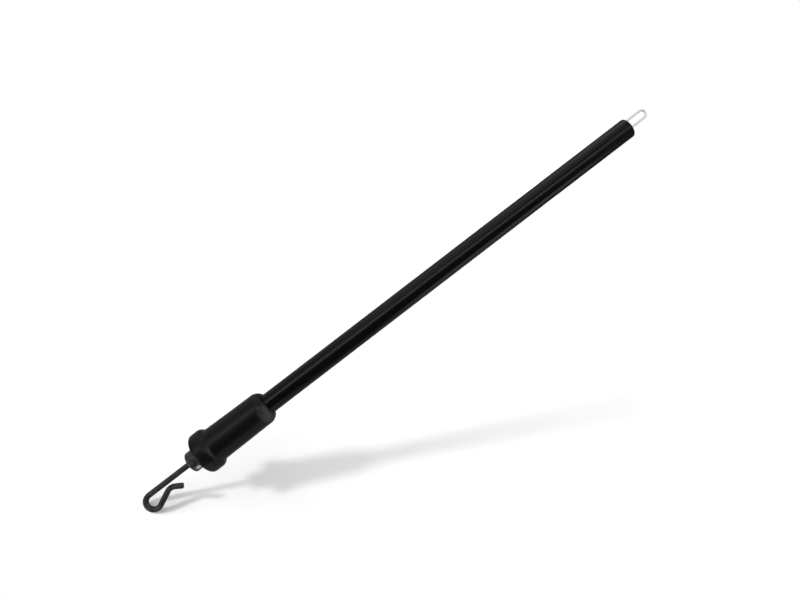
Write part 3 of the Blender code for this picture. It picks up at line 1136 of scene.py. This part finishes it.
@dataclass
class InnerWorks:
    """The pieces that keep their solids: most of those in the socket, and the tail's plug and crimp."""

    axis: Vector
    nodes: dict[str, bpy.types.Object]
    PIECES: ClassVar[dict[Slot, tuple[str, ...]]] = {
        Slot.BRONZE: ("nose_bearing", "spring_follower"),
        Slot.SPRING: ("front_spring_seat", "shank_clip", "chamber_ring"),
        Slot.PLATED: ("thrust_washer", "lock_nut", "jam_nut", "socket_pin"),
        Slot.CRIMP: ("loop_crimp",),
        Slot.PLUG: ("tail_plug",),
    }

    def finishes(self) -> dict[Slot, PlainMetal | PlugNylon]:
        """The finish of each slot.

        Returns:
            A finish for each slot that these pieces use.
        """
        axis = self.axis
        bronze = PlainMetal(
            axis, "bronze", dark=(0.30, 0.18, 0.07), light=(0.46, 0.29, 0.13), roughness=0.42
        )
        plated = PlainMetal(
            axis, "plated_steel", dark=(0.52, 0.52, 0.51), light=(0.70, 0.70, 0.68), roughness=0.32
        )
        crimp = PlainMetal(
            axis, "crimp_aluminium", dark=(0.44, 0.44, 0.45), light=(0.58, 0.58, 0.59), roughness=0.44
        )
        return {
            Slot.BRONZE: bronze,
            Slot.SPRING: spring_steel(axis, "spring_steel"),
            Slot.PLATED: plated,
            Slot.CRIMP: crimp,
            Slot.PLUG: PlugNylon(axis),
        }

    def dress(self) -> None:
        """Gives each piece its finish."""
        finishes = self.finishes()
        for slot, names in self.PIECES.items():
            material = finishes[slot].make()
            for name in names:
                data = self.nodes[name].data
                data.materials.clear()
                data.materials.append(material)
                LOG.info("%s: dressed in %s", name, material.name)


@dataclass(frozen=True)
class SoftLight:
    """A soft rectangular light: its place, its long and short sides, its face's glow and its swing.

    The swing is the turn of the long side from X, in degrees, seen from above.
    """

    name: str
    place: tuple[float, float, float]
    size: tuple[float, float]
    glow: float
    swing: float = 0.0

    def build(self, target: Vector) -> None:
        """Hangs the light.

        Args:
            target: The point that it faces.
        """
        long_size, short_size = self.size
        data = bpy.data.lights.new(self.name, "AREA")
        data.shape = "RECTANGLE"
        data.size = long_size
        data.size_y = short_size
        data.energy = self.glow * math.pi * long_size * short_size
        light = bpy.data.objects.new(self.name, data)
        bpy.context.scene.collection.objects.link(light)
        place = Vector(self.place)
        back = (place - target).normalized()
        long_side = level(math.radians(self.swing))
        long_side = (long_side - back * long_side.dot(back)).normalized()
        turn = Matrix((long_side, back.cross(long_side), back)).transposed().to_4x4()
        light.matrix_world = Matrix.Translation(place) @ turn
        LOG.info("%s: %.1f W", self.name, data.energy)


@dataclass
class Studio:
    """The pale floor that the hook's eye stands on, the soft lights and the plain white surround."""

    axis: Vector
    hook: Hook
    floor_lean: float = math.radians(60.2)
    floor_turn: float = math.radians(20.0)
    floor_margin: float = 1.0 * MM
    floor_depth: float = 0.1 * MM
    underside_margin: float = 0.3 * MM
    floor_size: float = 1.8
    fade_length: float = 1.7
    fade_width: float = 0.88
    fade_edges: Stops = ((0.75, 1.0), (0.98, 0.0))
    floor_colour: Colour = (0.25, 0.25, 0.25)
    floor_mirrored: Colour = (0.11, 0.11, 0.11)
    floor_roughness: float = 0.9
    floor_glow: float = 0.135
    floor_sheen: float = 0.04
    shadow_strength: float = 7.0
    shadow_softness: float = math.radians(6.0)
    halo_strength: float = 8.6
    halo_softness: float = math.radians(60.0)
    shadow_towards: Vector = Vector((0.037, -0.577, -0.816))
    surround: float = 0.08
    surround_sheen: float = 0.08
    LIGHTS: ClassVar[tuple[SoftLight, ...]] = (
        SoftLight("broad_light", place=(0.0, 1.45, 1.35), size=(3.4, 1.2), glow=0.55),
        SoftLight("low_light", place=(0.3, 1.95, -0.30), size=(3.8, 2.0), glow=0.6),
        SoftLight("tail_light", place=(0.9, 1.75, 0.60), size=(2.2, 2.2), glow=0.55),
        SoftLight("strip_light", place=(0.10, 0.66, 1.85), size=(4.6, 0.50), glow=3.0, swing=-27.3),
        SoftLight("fill_light", place=(0.75, -1.95, 0.1), size=(1.2, 1.1), glow=1.7),
        SoftLight("hook_side_light", place=(-1.15, -1.95, 0.50), size=(1.3, 1.1), glow=1.4),
        SoftLight("hook_end_light", place=(-2.2, 0.0, 0.9), size=(1.2, 1.2), glow=4.0, swing=90.0),
        SoftLight("loop_end_light", place=(2.2, 0.0, 0.9), size=(1.8, 1.2), glow=3.4, swing=90.0),
        SoftLight("corner_light", place=(2.15, -1.2, 0.30), size=(0.8, 0.8), glow=4.5, swing=60.0),
    )

    def normal(self) -> Vector:
        """The floor's upward direction."""
        return level(self.floor_turn) * math.sin(self.floor_lean) + UP * math.cos(self.floor_lean)

    def downhill(self) -> Vector:
        """The way that the floor falls, level in Y."""
        up = self.normal()
        return Vector((up.z, 0.0, -up.x)).normalized()

    def build_floor(self) -> bpy.types.Object:
        """Makes the floor, which touches the hook's eye and falls away under the pole.

        Returns:
            The floor.
        """
        up = self.normal()
        downhill = self.downhill()
        half = self.floor_size / 2
        middle = self.hook.foot(up) + downhill * (half - self.floor_margin)
        turn = Matrix((downhill, up.cross(downhill), up)).transposed().to_4x4()
        shape = Shape(self.axis)
        sheets = ((0.0, half), (self.floor_depth, half + self.underside_margin))
        for number, (depth, reach) in enumerate(sheets):
            place = Matrix.Translation(middle - up * depth) @ turn
            made = bmesh.ops.create_grid(shape.mesh, x_segments=1, y_segments=1, size=reach, matrix=place)
            made["verts"][0].link_faces[0].material_index = number
        floor = shape.finish("studio_floor")
        floor.data.materials.append(self._floor_material())
        floor.data.materials.append(self._underside_material())
        return floor

    def _floor_material(self) -> bpy.types.Material:
        """A pale floor that stays white to the eye, keeps the shadow and fades out at its far edges.

        Returns:
            The floor's material.
        """
        graph = Graph.of_material("studio_floor")
        foot = self.hook.foot(self.normal())
        ahead = graph.travel(foot, self.downhill()) / self.fade_length
        aside = graph.travel(foot, self.normal().cross(self.downhill())) / self.fade_width
        spread = (ahead * ahead + aside * aside) ** 0.5
        mirrored = graph.met_by(Ray.GLOSSY, Ray.THROUGH)
        graph.paint(
            Base_Color=graph.blend(mirrored, self.floor_colour, self.floor_mirrored),
            Roughness=self.floor_roughness,
            Specular_IOR_Level=0.0,
            Emission_Color=graph.met_by(Ray.SEEN) * self.floor_glow + mirrored * self.floor_sheen,
            Emission_Strength=1.0,
            Alpha=graph.ramp(spread, self.fade_edges),
        )
        return graph.material

    def _underside_material(self) -> bpy.types.Material:
        """The floor's white underside.

        Returns:
            The underside's material.
        """
        graph = Graph.of_material("floor_underside")
        graph.paint(
            Base_Color=(*self.floor_mirrored, 1.0),
            Roughness=self.floor_roughness,
            Specular_IOR_Level=0.0,
            Emission_Color=graph.met_by(Ray.SEEN),
            Emission_Strength=1.0,
        )
        return graph.material

    def add_shadow_light(
        self, name: str, lit: bpy.types.Collection, strength: float, softness: float
    ) -> None:
        """Adds a light that draws the pole's shadow, and reaches the floor alone.

        Args:
            name: The light's name.
            lit: The collection that holds the floor.
            strength: How strong the light is.
            softness: How wide the light looks, as an angle.
        """
        data = bpy.data.lights.new(name, "SUN")
        data.energy = strength
        data.angle = softness
        light = bpy.data.objects.new(name, data)
        bpy.context.scene.collection.objects.link(light)
        light.rotation_euler = self.shadow_towards.to_track_quat("-Z", "Y").to_euler()
        light.light_linking.receiver_collection = lit

    def build_shadow(self, floor: bpy.types.Object) -> None:
        """Adds the lights that draw the shadow's core and its soft halo.

        Args:
            floor: The floor.
        """
        lit = bpy.data.collections.new("lit_floor")
        lit.objects.link(floor)
        self.add_shadow_light("shadow_core", lit, self.shadow_strength, self.shadow_softness)
        self.add_shadow_light("shadow_halo", lit, self.halo_strength, self.halo_softness)

    def build_surround(self) -> None:
        """Makes the surround white to the eye, pale in reflections and dim as a light."""
        world = bpy.data.worlds.new("surround")
        bpy.context.scene.world = world
        world.use_nodes = True
        graph = Graph(world.node_tree)
        mirrored = graph.met_by(Ray.GLOSSY, Ray.THROUGH) * self.surround_sheen
        strength = graph.met_by(Ray.SEEN).at_least(mirrored).at_least(self.surround)
        background = world.node_tree.nodes["Background"]
        graph.feed(background.inputs["Color"], (1.0, 1.0, 1.0, 1.0))
        graph.feed(background.inputs["Strength"], strength)

    def build(self) -> None:
        """Makes the floor, the lights and the surround."""
        self.build_shadow(self.build_floor())
        for light in self.LIGHTS:
            light.build(self.axis)
        self.build_surround()


@dataclass
class Eye:
    """The camera: straight over the pole and close to it, turned so that the pole rises to the right."""

    axis: Vector
    frame_width: float = 800.0
    focal_pixels: float = 578.0
    metres_per_pixel: float = 0.7967 * MM
    pole_rise: float = math.radians(37.5)
    centre_from_nose: float = 208.7 * MM
    centre_aside: float = 1.68 * MM
    tail_nearness: float = math.radians(1.21)
    sensor: float = 36.0
    clip_start: float = 10.0 * MM

    def build(self) -> None:
        """Makes the camera and gives it to the scene."""
        nose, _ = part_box("hook_socket")
        target = Vector((nose.x + self.centre_from_nose, self.centre_aside, self.axis.z))
        data = bpy.data.cameras.new("eye")
        data.sensor_width = self.sensor
        data.lens = self.sensor * self.focal_pixels / self.frame_width
        data.clip_start = self.clip_start
        camera = bpy.data.objects.new("eye", data)
        bpy.context.scene.collection.objects.link(camera)
        lean = Matrix.Rotation(-self.tail_nearness, 3, "Y")
        camera.location = target + lean.col[2] * (self.focal_pixels * self.metres_per_pixel)
        roll = Euler((0.0, 0.0, -self.pole_rise)).to_matrix()
        camera.rotation_euler = (lean @ roll).to_euler()
        bpy.context.scene.camera = camera


def main() -> None:
    """Builds the pole's looks, piece by piece, and the studio around it."""
    logging.basicConfig(level=logging.INFO, format="%(name)s: %(message)s")
    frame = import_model()
    tube_low, tube_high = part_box("pole_tube")
    axis = (tube_low + tube_high) / 2
    axis.x = 0.0
    hook = Hook(axis)
    for part in (Tube(axis), Buffer(axis), Nose(axis), DrawSpring(axis), hook, Loop(axis), TailPin(axis)):
        part.build()
    InnerWorks(axis, frame["nodes"]).dress()
    Studio(axis, hook).build()
    Eye(axis).build()
    bpy.context.scene.view_settings.view_transform = "Standard"


if __name__ == "__main__":
    main()
